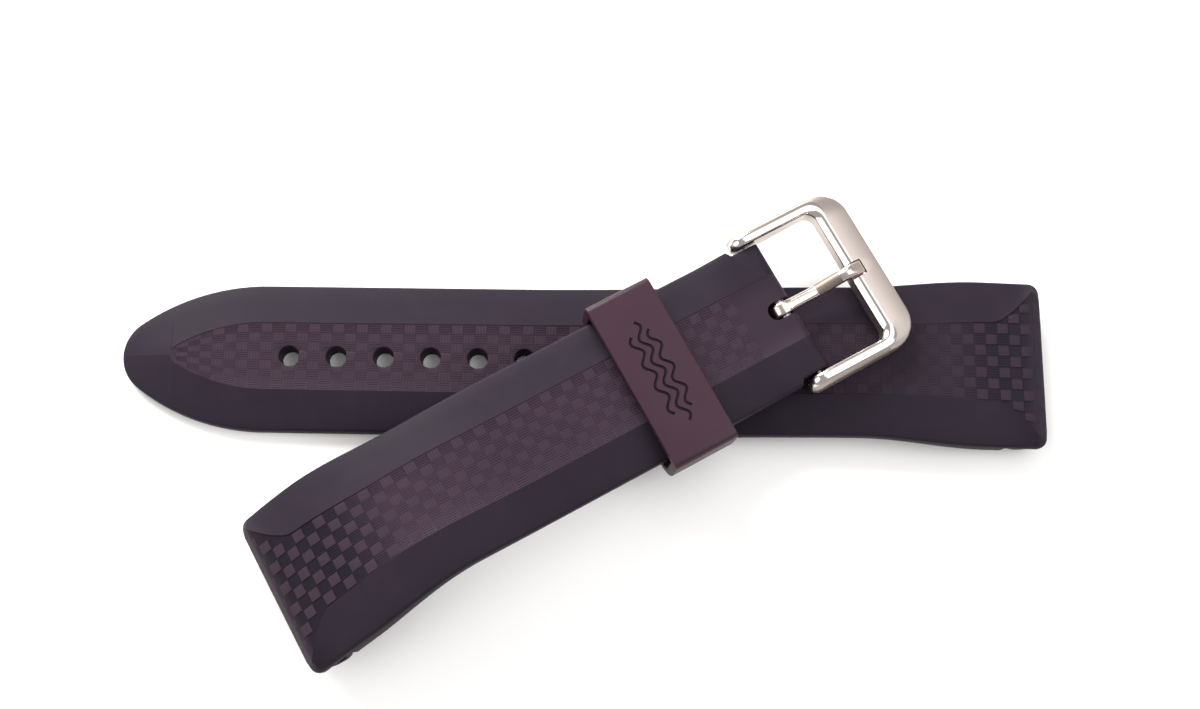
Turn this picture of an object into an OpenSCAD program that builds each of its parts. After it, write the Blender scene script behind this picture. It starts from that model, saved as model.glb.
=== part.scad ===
// Two-piece moulded rubber watch strap with a steel tang buckle and a loose keeper.
// The frame's origin is the middle of the spring bar bore in the long strap's lug end.
// X runs along the long strap towards that end, Y runs across it and Z is up.

/* [Strap bodies] */
// Width across the lug ends
lug_w = 24; // [22.8:0.1:28]
// Width of the plain stretch behind the lug end
body_w = 21.6; // [20.8:0.1:22.6]
// Width of the long strap where its nose begins
tail_w = 21; // [19:0.1:22]
// Width of the tongue that sits between the arms of the buckle
tongue_w = 20; // [18:0.1:20.4]
// Thickness at the raised band along the middle
strap_t = 3.2; // [3:0.1:4]
// Height of the side walls, where the sloping flanks end
edge_t = 2; // [1.6:0.1:2.6]
// Width of each sloping flank
flank_w = 5.7; // [5:0.1:7]
// Distance from the lug bore to the tip of the tail
long_reach = 126.5; // [118:0.5:150]
// Length from the buckle's spring bar to the lug bore, along the short strap
short_reach = 76.8; // [70:0.2:84]
// Straight stretch of the short strap, from the spring bar
straight_len = 50.4; // [44:0.2:54]
// Length of the tail's nose
nose_len = 20; // [16:0.5:26]
// Radius of the tip of the nose
tip_r = 5.7; // [4:0.1:7]

/* [Lug ends] */
// Radius of the bore for a case's spring bar
lug_bore_r = 1; // [0.75:0.05:1.1]
// Radius of the barrel round that bore
barrel_r = 2; // [1.8:0.1:2.3]
// Distance from the bore to the strap's end
bore_inset = 3.3; // [3:0.1:4]
// How far the bore lies below the strap's main underside
bore_drop = 0.2; // [0:0.05:0.4]
// Thickness of the lip over the barrel
lip_t = 2.6; // [2.3:0.1:2.8]
// Thickness of the lip at its very end
end_edge_t = 2.2; // [1.8:0.1:2.6]
// Length of the sloping border at the end
end_border = 1.7; // [1:0.1:2.5]
// Radius of the end's corners, seen from above
lug_corner_r = 1.5; // [0.8:0.1:2.2]
// Full-width stretch at the end
lug_square = 9; // [8:0.5:12]
// Stretch over which the full width narrows to the plain width
flare_len = 18; // [12:0.5:20]
// Stretch over which the band widens towards the end
band_flare = 7.5; // [5:0.5:9]
// Width left to each flank at the end
corner_flank_w = 1.6; // [1.2:0.1:3]
// How much wider the band is, on each side, where that stretch begins
band_widen = 0.6; // [0:0.1:1]
// Length over which the band comes down to its plain width
widen_len = 13; // [8:1:18]
// Extra thickness of the pad behind the barrel
pad_t = 0.9; // [0.4:0.1:1.3]
// Length over which that pad fades out
pad_len = 17; // [10:0.5:22]
// Width of the notch between the barrel and the pad
notch_w = 0.8; // [0.6:0.1:1.5]

/* [Adjustment holes] */
// Diameter of each hole
hole_d = 2.9; // [2.4:0.1:3.4]
// Distance from hole to hole
hole_pitch = 6.6; // [5:0.1:7]
// Number of holes
hole_count = 7; // [5:1:9]
// Distance from the tip to the first hole
first_hole = 23.4; // [20:0.1:30]

/* [Keeper] */
// Length of the keeper along the strap
keeper_len = 9.7; // [6:0.1:12]
// Wall of the keeper
keeper_wall = 1.3; // [1:0.1:1.8]
// Room between the strap and each side wall
keeper_side_play = 0.5; // [0.2:0.05:0.8]
// How far the loose keeper lies towards the strap's lower side
keeper_offset = 0.3; // [0:0.05:0.35]
// Room left over when the strap and the thin edge of the tail are inside; the loop stretches over
// the tail's band
keeper_spare = 0.2; // [0.2:0.05:1]
// Distance from the spring bar to the keeper's middle
keeper_place = 20.2; // [18:0.1:30]
// Radius of the keeper's outer corners
keeper_corner_r = 0.9; // [0.6:0.1:2.4]

/* [Buckle] */
// Play between the tongue and each arm
arm_play = 0.25; // [0.15:0.05:0.5]
// Width of each arm
arm_w = 2.15; // [1.9:0.05:2.6]
// Distance from the spring bar to the crossbar
window_len = 10.6; // [9.5:0.1:13]
// Width of the crossbar
crossbar_w = 4.7; // [4:0.1:6]
// Radius of the arms' round ends
eyelet_r = 2.2; // [2:0.1:2.6]
// Height of the crossbar's underside over the spring bar's axis, below it when negative
crossbar_low = -0.7; // [-1.2:0.1:0]
// Thickness of the crossbar
crossbar_t = 2.8; // [2.2:0.1:3.2]
// How much lower the crossbar's top lies at its outer edge
crossbar_fall = 0.6; // [0.2:0.1:1]
// Radius of the outer corners
buckle_corner_r = 4.2; // [3:0.1:5]
// Radius of the window's corners
window_corner_r = 1.4; // [0.8:0.1:2]
// Depth of the notch for the tang's tip
tang_notch_d = 0.8; // [0.5:0.05:1]

/* [Tang] */
// Width of the tang
tang_w = 1.9; // [1.6:0.1:2.2]
// Thickness of the tang's blade
tang_t = 1.1; // [0.8:0.05:1.3]
// Radius of the loop round the spring bar
tang_loop_r = 1.75; // [1.6:0.05:1.9]
// How far the tang's ridge stands over the crossbar's top
tang_ridge = 1.2; // [1.1:0.05:1.6]
// Distance from the crossbar's inner edge to the tang's tip
tang_reach = 2.1; // [1.8:0.1:3]
// Play between the tang and the sides of its slot and notch
tang_play = 0.35; // [0.2:0.05:0.6]

/* [Spring bar] */
// Outer radius of the tube
bar_r = 0.8; // [0.75:0.01:0.85]
// Wall of the tube
bar_wall = 0.25; // [0.2:0.01:0.28]
// Radius of the plungers' pins
pin_r = 0.4; // [0.35:0.01:0.42]
// Length of pin inside each arm
pin_depth = 1.2; // [0.9:0.05:1.4]
// Length of a plunger's head
head_len = 2; // [1.5:0.1:2.5]
// How far each plunger can be pushed in
plunger_travel = 1.4; // [1.2:0.05:1.5]
// How much further each plunger could spring out before its head meets the tube's lip
plunger_spare = 0.6; // [0.3:0.1:1]
// Radius of the spring's wire
wire_r = 0.1; // [0.08:0.01:0.12]
// Number of turns of the spring
spring_turns = 12; // [8:1:14]
// Running clearance of what turns or slides on the bar
bar_fit = 0.05; // [0.03:0.01:0.07]

/* [How it lies] */
// Clearance between pieces that lie on each other
lay_gap = 0.3; // [0.2:0.05:0.5]
// How far the long strap arches above its lug end
arch_rise = 1; // [0.6:0.1:1.4]
// Distance from the lug bore to the top of that arch
arch_peak = 20; // [14:1:26]
// Length over which the arch comes down to the table
arch_fall = 50; // [40:1:60]
// Bend radius of the short strap's moulded curve
curve_r = 46; // [42:0.5:50]
// Roll of the short strap's lug end about the strap's length
lug_roll = 8.5; // [0:0.5:10]
// Distance from the spring bar to where that roll begins
roll_from = 40; // [38:1:46]
// Stretch over which the strap takes it up
roll_len = 22; // [16:1:24]
// Angle between the two straps
lay_angle = 29.4; // [25:0.1:34]
// Place of the spring bar along the long strap
lay_x = -34.3; // [-38:0.1:-30]
// Place of the spring bar across the long strap
lay_y = 6.2; // [4:0.1:10]

/* [Hidden] */

rubber = [0.31, 0.25, 0.3];
keeper_rubber = [0.33, 0.27, 0.33];
steel = [0.78, 0.75, 0.74];
bright_steel = [0.88, 0.87, 0.86];

// Height of the table under the bore, and the least lengths that the shapes need
table_z = -barrel_r;
under_chamfer = 0.4;
thin = 0.15;
// The barrels end just inside the chamfered edges of the lug ends
barrel_inset = 0.05;
overshoot = 1;

// Nose: a small tip circle runs into two large arcs, one on each side
nose_arc_r = (pow(nose_len - tip_r, 2) + pow(tail_w / 2, 2) - pow(tip_r, 2)) / (tail_w - 2 * tip_r);
nose_arc_y = tail_w / 2 - nose_arc_r;
tip_touch = tip_r - tip_r * (nose_len - tip_r) / (nose_arc_r - tip_r);
band_arc_r = nose_arc_r - flank_w;
band_start = nose_len - sqrt(pow(band_arc_r, 2) - pow(nose_arc_y, 2));

// Buckle and bar
bar_h = strap_t / 2;
arm_in = tongue_w / 2 + arm_play;
frame_half = arm_in + arm_w;
frame_len = window_len + crossbar_w;
crossbar_top = crossbar_low + crossbar_t;
notch_floor = crossbar_top - tang_notch_d;
tang_seat = 0.12;
slot_w = tang_w + 2 * tang_play;
slot_back = tang_loop_r + tang_play + slot_w / 2 - sqrt(pow(slot_w, 2) - pow(tang_w, 2)) / 2;
shoulder = eyelet_r + 0.4;
shoulder_len = 0.7;
tongue_fade = 6;
tube_in_r = bar_r - bar_wall;
tube_half = arm_in - 0.35;
tube_lip = 0.5;
pin_end = arm_in + pin_depth;
head_out = tube_half - tube_lip - plunger_spare;
head_in = head_out - head_len;
spring_gap = 0.1;
spring_half = head_in - spring_gap - wire_r;
spring_r = tube_in_r - bar_fit - wire_r;

// Keeper
keeper_w = body_w + 2 * (keeper_side_play + keeper_wall);
keeper_room = strap_t + edge_t + keeper_spare;
keeper_h = keeper_room + 2 * keeper_wall;
keeper_slide_up = 1.5;
keeper_near = keeper_place - keeper_len / 2 - keeper_slide_up;

function ease(t) = t <= 0 ? 0 : t >= 1 ? 1 : t * t * (3 - 2 * t);
function mix(a, b, t) = a + (b - a) * t;

// Underside of the long strap: it stands on its barrel, arches and comes down to the table
function long_z(s) = s < arch_peak
    ? bore_drop + arch_rise * (1 - pow((arch_peak - s) / arch_peak, 2))
    : mix(bore_drop + arch_rise, table_z, ease((s - arch_peak) / arch_fall));
function long_slope(s) = atan2(long_z(s + 0.1) - long_z(s - 0.1), 0.2);

// Lug end, by the distance e from its end edge
pad_from = bore_inset + barrel_r + notch_w;
function corner_half(e) = e < lug_corner_r
    ? lug_w / 2 - lug_corner_r + sqrt(pow(lug_corner_r, 2) - pow(lug_corner_r - e, 2))
    : lug_w / 2;
function lug_half(e) = e < lug_square ? corner_half(e)
    : mix(lug_w / 2, body_w / 2, ease((e - lug_square) / flare_len));
function lug_top(e) = e < end_border ? mix(end_edge_t, strap_t, e / end_border) : strap_t;
function lug_under(e) = e < pad_from ? strap_t - lip_t : -pad_t * (1 - ease((e - pad_from) / pad_len));
function flare(e) = e < end_border ? 1 : e > band_flare ? 0
    : pow((band_flare - e) / (band_flare - end_border), 1.5);
function lug_band(half, e) =
    mix(min(half, body_w / 2) - flank_w + band_widen * (1 - ease((e - band_flare) / widen_len)),
        half - corner_flank_w, flare(e));

// Tail, by the distance t from its tip
function tail_half(t) = t < tip_touch ? sqrt(2 * tip_r * t - t * t)
    : nose_arc_y + sqrt(pow(nose_arc_r, 2) - pow(nose_len - t, 2));
function tail_band(t) = t <= band_start ? thin
    : max(thin, nose_arc_y + sqrt(pow(band_arc_r, 2) - pow(nose_len - t, 2)));
function tail_top(t) = t < band_start ? mix(edge_t, strap_t, t / band_start) : strap_t;

// Outline of one cross-section: half width, band half width, underside, side wall and band heights
function section(w, b, under, side, top) =
    let (c = min(under_chamfer, w / 2))
    [[-w + c, under], [w - c, under], [w, under + c], [w, side], [b, top], [-b, top], [-w, side],
     [-w, under + c]];

function long_half(s) =
    let (t = long_reach - s, from = lug_square + flare_len - bore_inset)
    t < nose_len ? tail_half(t)
    : s < from ? lug_half(s + bore_inset)
    : mix(body_w / 2, tail_w / 2, (s - from) / (long_reach - nose_len - from));

function long_section(s) =
    let (e = s + bore_inset, t = long_reach - s, w = long_half(s))
    t < nose_len
        ? section(w, min(tail_band(t), w - thin), 0, edge_t, tail_top(t))
        : section(w, lug_band(w, e), lug_under(e), min(edge_t, lug_top(e) - thin), lug_top(e));

function short_half(s) = s < shoulder + shoulder_len
    ? mix(tongue_w / 2, body_w / 2, ease((s - shoulder) / shoulder_len))
    : lug_half(short_reach + bore_inset - s);

// The flanks fade out on the tongue, so that its bore keeps a wall all the way
function short_section(s) =
    let (e = short_reach + bore_inset - s, w = short_half(s),
         side = mix(strap_t - under_chamfer, edge_t, ease((s - shoulder) / tongue_fade)))
    section(w, s < shoulder + tongue_fade ? body_w / 2 - flank_w : lug_band(w, e), lug_under(e),
            min(side, lug_top(e) - thin), lug_top(e));

// A cross-section set up on its path: the long strap's arch, or the short strap's moulded curve,
// whose lug end is rolled because it lies loose
function on_long(s) =
    let (a = long_slope(s))
    [for (p = long_section(s)) [-s + p[1] * sin(a), p[0], long_z(s) + p[1] * cos(a)]];
function curve_angle(s) = max(0, s - straight_len) / curve_r * 180 / PI;
function rolled(p, a) = [p[0], p[1] * cos(a) + p[2] * sin(a), p[2] * cos(a) - p[1] * sin(a)];
function on_short(s) =
    let (a = curve_angle(s), roll = lug_roll * ease((s - roll_from) / roll_len))
    [for (p = short_section(s))
        rolled([-min(s, straight_len) - (curve_r + p[1]) * sin(a), p[0],
                -bar_h - curve_r * (1 - cos(a)) + p[1] * cos(a)], roll)];

// Where the cross-sections stand, as distances from the lug end and from the tip
lug_stations = concat(
    [for (i = [0:4]) lug_corner_r * (1 - cos(i * 22.5))],
    [end_border, 2.6, 3.6, 4.6, pad_from - 0.05, pad_from + 0.05, band_flare],
    [for (i = [1:8]) band_flare + i * (lug_square + flare_len - band_flare) / 8]);
tip_stations = concat(
    [for (i = [4:-1:1]) tip_touch * pow(i / 4, 2)],
    [0.02]);
nose_stations = [for (i = [0:9]) mix(nose_len, tip_touch, i / 10)];
long_from = lug_stations[len(lug_stations) - 1] - bore_inset;
long_steps = 16;
long_s = concat(
    [for (e = lug_stations) e - bore_inset],
    [for (i = [1:long_steps - 1]) mix(long_from, long_reach - nose_len, i / long_steps)],
    [for (t = concat(nose_stations, tip_stations)) long_reach - t]);
short_to = short_reach + bore_inset - lug_stations[len(lug_stations) - 1];
short_steps = 9;
short_s = concat(
    [0, shoulder, shoulder + shoulder_len / 2, shoulder + shoulder_len, shoulder + 2, shoulder + 4],
    [for (i = [0:short_steps - 1]) mix(shoulder + tongue_fade, short_to, i / short_steps)],
    [for (i = [len(lug_stations) - 1:-1:0]) short_reach + bore_inset - lug_stations[i]]);

// A closed skin over rings of n points each, with both ends closed by fans of triangles, which are
// flat however the ring is turned; a turned skin has its rings in the other order
function skin_faces(rings, n, turned) =
    let (sides = [for (i = [0:rings - 2], j = [0:n - 1])
             let (a = i * n + j, b = i * n + (j + 1) % n, c = a + n, d = b + n)
             each [[a, b, c], [b, d, c]]],
         end = (rings - 1) * n,
         first = [for (j = [1:n - 2]) [0, j + 1, j]],
         last = [for (j = [1:n - 2]) [end, end + j, end + j + 1]],
         all = concat(first, sides, last))
    turned ? [for (f = all) [for (k = [len(f) - 1:-1:0]) f[k]]] : all;

module skin(rings, turned = false) {
    n = len(rings[0]);
    polyhedron(points = [for (r = rings) each r], faces = skin_faces(len(rings), n, turned));
}

// A round bar across the strap, centred on the origin
module across(r, length, sides = 48) {
    rotate([90, 0, 0]) cylinder(r = r, h = length, center = true, $fn = sides);
}

// Place of the short strap: tilted so that its barrel's lower end meets the table while its buckle
// clears the arch
curve_end = curve_angle(short_reach);
lug_back = straight_len + (curve_r - bore_drop) * sin(curve_end);
lug_down = bar_h + curve_r * (1 - cos(curve_end)) + bore_drop * cos(curve_end);
arm_foot = -lay_x - frame_half * sin(lay_angle);
bar_z = long_z(arm_foot) + strap_t + lay_gap + eyelet_r;
lay_touch = 0.05;
lug_fall = lug_down * cos(lug_roll);
barrel_end = lug_w / 2 - under_chamfer - barrel_inset;
bore_z = table_z + lay_touch + barrel_r * cos(lug_roll) + barrel_end * sin(lug_roll);
lay_tilt = atan2(lug_fall, lug_back)
    + asin((bore_z - bar_z) / sqrt(pow(lug_back, 2) + pow(lug_fall, 2)));
module short_place() {
    translate([lay_x, lay_y, bar_z]) rotate([0, 0, lay_angle]) rotate([0, lay_tilt, 0]) children();
}
function from_short(p) =
    let (x = p[0] * cos(lay_tilt) + p[2] * sin(lay_tilt), z = -p[0] * sin(lay_tilt) + p[2] * cos(lay_tilt))
    [lay_x + x * cos(lay_angle) - p[1] * sin(lay_angle), lay_y + x * sin(lay_angle) + p[1] * cos(lay_angle),
     bar_z + z];

// The keeper's lower wall rests on the long strap's band when it is slid up to the buckle
band_y = -(body_w / 2 - flank_w);
keeper_y = (band_y - lay_y + keeper_near * sin(lay_angle)) / cos(lay_angle);
keeper_spot = from_short([-keeper_near, keeper_y, 0]);
keeper_low = long_z(-keeper_spot[0]) + strap_t + lay_gap - keeper_spot[2];
keeper_mid = keeper_low + keeper_h / 2;

module long_strap() {
    color(rubber)
    difference() {
        union() {
            skin([for (s = long_s) on_long(s)]);
            across(barrel_r, 2 * barrel_end);
        }
        across(lug_bore_r, lug_w + overshoot);
        for (i = [0:hole_count - 1])
            translate([first_hole + i * hole_pitch - long_reach, 0, table_z - overshoot])
                cylinder(d = hole_d, h = barrel_r + arch_rise + strap_t + 3 * overshoot, $fn = 48);
    }
}

module at_lug() {
    rotate([-lug_roll, 0, 0]) translate([-lug_back, 0, -lug_down]) children();
}

module short_strap() {
    color(rubber)
    short_place()
    difference() {
        union() {
            skin([for (s = short_s) on_short(s)]);
            across(strap_t / 2, tongue_w);
            at_lug() across(barrel_r, 2 * barrel_end);
        }
        at_lug() across(lug_bore_r, lug_w + overshoot);
        across(bar_r + bar_fit, tongue_w + overshoot);
        tang_slot();
    }
}

// Open slot in the end of the tongue, in which the tang's loop turns
module tang_slot() {
    h = strap_t + 2 * overshoot;
    translate([-slot_back + slot_w / 2, -slot_w / 2, -h / 2]) cube([slot_back + strap_t, slot_w, h]);
    translate([-slot_back + slot_w / 2, 0, -h / 2]) cylinder(d = slot_w, h = h, $fn = 48);
}

module rounded_rectangle(w, h, r) {
    square([w - 2 * r, h], center = true);
    square([w, h - 2 * r], center = true);
    for (x = [-1, 1], y = [-1, 1])
        translate([x * (w / 2 - r), y * (h / 2 - r)]) circle(r = r, $fn = 48);
}

module keeper() {
    inner_r = keeper_corner_r - keeper_wall;
    color(keeper_rubber)
    short_place()
    translate([-keeper_place, -keeper_offset, keeper_mid])
    rotate([90, 0, 90])
    linear_extrude(height = keeper_len, center = true)
    difference() {
        rounded_rectangle(keeper_w, keeper_h, keeper_corner_r);
        rounded_rectangle(keeper_w - 2 * keeper_wall, keeper_room, max(inner_r, thin));
    }
}

// The frame seen from above: a plate with two round corners, and the window open to the strap
module buckle_plan() {
    r = buckle_corner_r;
    q = window_corner_r;
    difference() {
        union() {
            translate([-eyelet_r, -frame_half]) square([eyelet_r + frame_len - r, 2 * frame_half]);
            translate([-eyelet_r, -frame_half + r]) square([eyelet_r + frame_len, 2 * (frame_half - r)]);
            for (y = [-1, 1])
                translate([frame_len - r, y * (frame_half - r)]) circle(r = r, $fn = 64);
        }
        translate([-eyelet_r - overshoot, -arm_in]) square([eyelet_r + overshoot + window_len - q, 2 * arm_in]);
        translate([-eyelet_r - overshoot, -arm_in + q])
            square([eyelet_r + overshoot + window_len, 2 * (arm_in - q)]);
        for (y = [-1, 1])
            translate([window_len - q, y * (arm_in - q)]) circle(r = q, $fn = 48);
    }
}

// The frame seen from the side: round ends at the bar, a thinner crossbar that lies higher
module buckle_side() {
    circle(r = eyelet_r, $fn = 64);
    polygon([[0, -eyelet_r], [frame_len, crossbar_low], [frame_len, crossbar_top - crossbar_fall],
             [window_len, crossbar_top], [0, eyelet_r]]);
}

module buckle_frame() {
    color(steel)
    short_place()
    difference() {
        intersection() {
            translate([0, 0, -frame_len]) linear_extrude(height = 2 * frame_len) buckle_plan();
            rotate([90, 0, 0])
                linear_extrude(height = 2 * frame_half + overshoot, center = true) buckle_side();
        }
        across(pin_r + bar_fit, 2 * (pin_end + spring_gap));
        translate([window_len - overshoot, -slot_w / 2, notch_floor])
            cube([overshoot + tang_reach + tang_play, slot_w, crossbar_t]);
    }
}

// The blade seen from the side: it leaves the loop level, rises to a ridge and ends in a flat tip
module tang_side() {
    tip_low = notch_floor + tang_seat;
    ridge_top = crossbar_top + tang_ridge;
    bend_x = window_len * 0.53;
    bend_top = tang_loop_r;
    tip_x = window_len + tang_reach;
    polygon([[0, tang_loop_r], [bend_x, bend_top], [window_len - 0.8, ridge_top],
             [window_len + 0.2, ridge_top], [tip_x, tip_low + tang_t * 0.85], [tip_x, tip_low],
             [window_len + 0.3, tip_low], [window_len - 0.3, ridge_top - 1.3 * tang_t],
             [bend_x + 0.3, bend_top - tang_t], [0, bend_top - tang_t]]);
}

module tang() {
    color(bright_steel)
    short_place()
    difference() {
        union() {
            across(tang_loop_r, tang_w);
            rotate([90, 0, 0]) linear_extrude(height = tang_w, center = true) tang_side();
        }
        across(bar_r + bar_fit, tang_w + overshoot);
    }
}

module spring_bar_tube() {
    color(steel)
    short_place()
    difference() {
        across(bar_r, 2 * tube_half);
        across(tube_in_r, 2 * (tube_half - tube_lip));
        across(pin_r + bar_fit, 2 * tube_half + overshoot);
    }
}

// One plunger, pointing along +Y: a head inside the tube and a pin into the arm
module plunger() {
    color(bright_steel)
    rotate([-90, 0, 0]) {
        translate([0, 0, head_in]) cylinder(r = tube_in_r - bar_fit, h = head_len, $fn = 32);
        translate([0, 0, head_in]) cylinder(r = pin_r, h = pin_end - head_in, $fn = 32);
    }
}

module spring_bar_plunger_left() {
    short_place() plunger();
}

module spring_bar_plunger_right() {
    short_place() rotate([0, 0, 180]) plunger();
}

// The spring: one unbroken wire on a helix along Y
helix_rings = 8;
helix_sides = 6;
function helix_point(i, angle) =
    let (turn = i / helix_rings, y = mix(-spring_half, spring_half, turn / spring_turns),
         r = spring_r + wire_r * cos(angle))
    [r * cos(360 * turn), y + wire_r * sin(angle), r * sin(360 * turn)];
echo(least_gap_between_turns = 2 * spring_half / spring_turns - 2 * wire_r);

module spring_bar_spring() {
    color(steel)
    short_place()
    skin([for (i = [0:spring_turns * helix_rings])
          [for (k = [0:helix_sides - 1]) helix_point(i, k * 360 / helix_sides)]], turned = true);
}

// Places that the interfaces and joints are stated by
echo(bar = from_short([0, 0, 0]), tilt = lay_tilt, keeper_low = keeper_low, keeper_mid = keeper_mid);
lug_spot = from_short(rolled([-lug_back, 0, -lug_down], lug_roll));
echo(short_lug_bore = lug_spot);
echo(short_lug_bore_axis = lug_spot - from_short(rolled([-lug_back, 1, -lug_down], lug_roll)));
echo(along_short = from_short([1, 0, 0]) - from_short([0, 0, 0]));
echo(across_short = from_short([0, 1, 0]) - from_short([0, 0, 0]));

long_strap();
short_strap();
keeper();
buckle_frame();
tang();
spring_bar_tube();
spring_bar_plunger_left();
spring_bar_plunger_right();
spring_bar_spring();
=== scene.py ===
# %% [markdown]
# # A rubber watch strap, laid out for sale
# Two moulded rubber pieces lie crosswise on a white table. The short one carries a steel buckle
# and a loose keeper, the long one has the holes. The solids that were engineered for it are
# loaded first, as a fixed frame: every piece made here has to stay where its solid is.

# %% Load the solids
import math
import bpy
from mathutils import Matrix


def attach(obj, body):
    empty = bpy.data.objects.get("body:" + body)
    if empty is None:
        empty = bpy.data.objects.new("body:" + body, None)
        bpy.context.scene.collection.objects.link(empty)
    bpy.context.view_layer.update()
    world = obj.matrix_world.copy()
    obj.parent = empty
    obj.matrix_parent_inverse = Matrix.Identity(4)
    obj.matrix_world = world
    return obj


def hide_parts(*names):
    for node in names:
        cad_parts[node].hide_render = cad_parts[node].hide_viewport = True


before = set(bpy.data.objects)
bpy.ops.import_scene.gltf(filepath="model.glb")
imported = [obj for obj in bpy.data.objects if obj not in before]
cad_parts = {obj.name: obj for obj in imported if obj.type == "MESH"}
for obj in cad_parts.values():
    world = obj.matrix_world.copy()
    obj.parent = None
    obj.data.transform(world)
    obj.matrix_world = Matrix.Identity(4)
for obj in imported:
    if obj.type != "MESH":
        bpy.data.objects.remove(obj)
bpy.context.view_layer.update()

from types import SimpleNamespace

import bpy
import numpy as np
from mathutils import Matrix, Vector

print("solids:", sorted(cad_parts))

# %% [markdown]
# ## Working in millimetres
# A strap has details of a tenth of a millimetre, which are easier to judge when one unit is one
# millimetre. So each piece is modelled at that size, in its own straight coordinates, and only
# its finished mesh is shrunk to metres and laid in place.

# %% Small helpers for making, picking and reading meshes
MM = 0.001
MERGE = 0.002


def cosine(degrees):
    return math.cos(math.radians(degrees))


def sine(degrees):
    return math.sin(math.radians(degrees))


def pick_only(piece):
    # Operators act on everything that is selected, so each step starts from a clean selection
    bpy.ops.object.select_all(action="DESELECT")
    piece.select_set(True)
    bpy.context.view_layer.objects.active = piece


def add_solid(name, add, **settings):
    # A primitive whose place, turn and size are moved into its mesh
    add(**settings)
    piece = bpy.context.object
    piece.name = name
    bpy.ops.object.transform_apply(location=True, rotation=True, scale=True)
    return piece


def add_block(name, size, place):
    return add_solid(name, bpy.ops.mesh.primitive_cube_add, size=1, location=place, scale=size)


def read_points(piece):
    points = np.empty(len(piece.data.vertices) * 3)
    piece.data.vertices.foreach_get("co", points)
    return points.reshape(-1, 3)


def write_points(piece, points):
    piece.data.vertices.foreach_set("co", np.asarray(points, float).ravel())
    piece.data.update()


def enter_edit(piece, kind, action):
    # Edit mode for points, edges or faces, with all or none of them selected
    pick_only(piece)
    bpy.ops.object.mode_set(mode="EDIT")
    bpy.ops.mesh.select_mode(type=kind)
    bpy.ops.mesh.select_all(action=action)


def leave_edit():
    bpy.ops.object.mode_set(mode="OBJECT")


def pick_top(piece):
    # Enters edit mode with just the faces selected that look up
    enter_edit(piece, "FACE", "DESELECT")
    leave_edit()
    for face in piece.data.polygons:
        face.select = face.normal.z > 0.9
    bpy.ops.object.mode_set(mode="EDIT")


def bevel_edges(piece, wanted, width, segments):
    # Rounds just the edges whose two end points pass the test
    enter_edit(piece, "EDGE", "DESELECT")
    leave_edit()
    points = piece.data.vertices
    for edge in piece.data.edges:
        edge.select = wanted(*[points[i].co for i in edge.vertices])
    bpy.ops.object.mode_set(mode="EDIT")
    bpy.ops.mesh.bevel(offset=width, segments=segments)
    leave_edit()


def apply_modifier(piece, kind, **settings):
    pick_only(piece)
    modifier = piece.modifiers.new(kind.lower(), kind)
    for name, value in settings.items():
        setattr(modifier, name, value)
    bpy.ops.object.modifier_apply(modifier=modifier.name)


def soften(piece, width, segments, angle):
    # Rounds every edge where the faces turn by more than the angle, in degrees
    apply_modifier(piece, "BEVEL", width=width, segments=segments, limit_method="ANGLE",
                   angle_limit=math.radians(angle))


def cut_away(piece, other, operation="DIFFERENCE"):
    apply_modifier(piece, "BOOLEAN", operation=operation, object=other, solver="EXACT")
    bpy.data.objects.remove(other)


def weld_on(piece, other):
    cut_away(piece, other, "UNION")


def close_and_turn_out(piece):
    # Seams are merged, open ends closed, and every face turned outwards
    enter_edit(piece, "VERT", "SELECT")
    bpy.ops.mesh.remove_doubles(threshold=MERGE)
    bpy.ops.mesh.select_all(action="SELECT")
    bpy.ops.mesh.fill_holes(sides=0)
    bpy.ops.mesh.select_all(action="SELECT")
    bpy.ops.mesh.normals_make_consistent(inside=False)
    leave_edit()


def show_size(piece):
    points = read_points(piece)
    size = points.max(0) - points.min(0)
    print(f"{piece.name}: {len(piece.data.polygons)} faces, size {np.round(size, 3).tolist()}")


# %% [markdown]
# ## Camera, table and light
# The photograph was taken from above with a slight lean, about 22 cm over the table. Place, lean
# and lens were fitted to the outlines of both pieces. The table is blown out to white, with soft
# shadows towards the lower right. So a large window light at the upper left throws them, and a
# weaker one fills them from the right. The flat tops of the steel mirror a softbox overhead,
# and its bevels a reflector low on the left.

# %% Camera
PHOTO_WIDTH = 1200
FOCAL_PIXELS = 1600.3
SENSOR = 36

camera_data = bpy.data.cameras.new("camera")
camera = bpy.data.objects.new("camera", camera_data)
bpy.context.scene.collection.objects.link(camera)
camera.location = (-0.06717, -0.05243, 0.22070)
camera.rotation_euler = (0.23759, -0.03645, 0.00594)
camera_data.sensor_width = SENSOR
camera_data.lens = SENSOR * FOCAL_PIXELS / PHOTO_WIDTH
camera_data.clip_start = 0.01
bpy.context.scene.camera = camera
print(f"lens {camera_data.lens:.1f} mm")

# %% Table
TABLE_Z = -2.0

bpy.ops.mesh.primitive_plane_add(size=4, location=(-0.06, 0, TABLE_Z * MM))
table = bpy.context.object
table.name = "table"


# %% Lamps
STRAP_MIDDLE = (-0.055, 0.0, 0.0)
WARM_WHITE = (1.0, 0.99, 0.98)
COOL_WHITE = (0.97, 0.98, 1.0)


def add_lamp(name, place, size, power, tint):
    data = bpy.data.lights.new(name, "AREA")
    data.shape = "DISK"
    data.size = size
    data.energy = power
    data.color = tint
    lamp = bpy.data.objects.new(name, data)
    bpy.context.scene.collection.objects.link(lamp)
    lamp.location = place
    lamp.rotation_euler = (Vector(STRAP_MIDDLE) - Vector(place)).to_track_quat("-Z", "Y").to_euler()


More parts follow.
